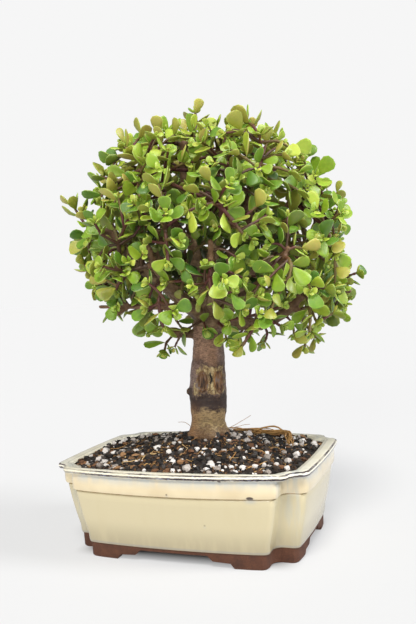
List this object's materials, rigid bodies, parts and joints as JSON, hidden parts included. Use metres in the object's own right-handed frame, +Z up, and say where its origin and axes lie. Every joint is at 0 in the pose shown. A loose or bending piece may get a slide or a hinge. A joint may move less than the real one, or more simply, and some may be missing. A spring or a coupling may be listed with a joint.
{
  "type": "elephant bush bonsai in a glazed ceramic pot",
  "caption": "Miniature succulent tree with a bare trunk and a round leafy crown, growing in gritty soil in a low cut-corner ceramic pot on clay feet.",
  "frame": {"origin": "on the surface that the pot stands on, under the middle of the whole plant's box", "axes": "+Z up, the pot's long front faces -Y and its length runs along X"},
  "size_m": [0.2334, 0.219, 0.3469],
  "materials": {
    "cream_glaze": "glossy cream glaze on red-brown stoneware",
    "screen_plastic": "matt black moulded mesh",
    "potting_grit": "rough dark grit with pale pumice",
    "bark": "smooth, finely wrinkled grey-brown bark",
    "leaf_green": "smooth, slightly waxy leaf"
  },
  "bodies": {
    "root": {"pot": "cream_glaze", "drain_screen_left": "screen_plastic", "drain_screen_right": "screen_plastic", "soil": "potting_grit", "trunk": "bark", "spray_01": "leaf_green", "spray_02": "leaf_green", "spray_03": "leaf_green", "spray_04": "leaf_green", "spray_05": "leaf_green", "spray_06": "leaf_green", "spray_07": "leaf_green", "spray_08": "leaf_green", "spray_09": "leaf_green", "spray_10": "leaf_green", "spray_11": "leaf_green", "spray_12": "leaf_green", "spray_13": "leaf_green", "spray_14": "leaf_green", "spray_15": "leaf_green", "spray_16": "leaf_green", "spray_17": "leaf_green", "spray_18": "leaf_green", "spray_19": "leaf_green", "spray_20": "leaf_green", "spray_21": "leaf_green", "spray_22": "leaf_green", "spray_23": "leaf_green", "spray_24": "leaf_green", "spray_25": "leaf_green", "spray_26": "leaf_green", "spray_27": "leaf_green", "spray_28": "leaf_green", "spray_29": "leaf_green", "spray_30": "leaf_green", "spray_31": "leaf_green", "spray_32": "leaf_green", "spray_33": "leaf_green", "spray_34": "leaf_green", "spray_35": "leaf_green", "spray_36": "leaf_green", "spray_37": "leaf_green", "spray_38": "leaf_green", "spray_39": "leaf_green", "spray_40": "leaf_green", "spray_41": "leaf_green", "spray_42": "leaf_green", "spray_43": "leaf_green", "spray_44": "leaf_green", "spray_45": "leaf_green"}
  },
  "joints": []
}
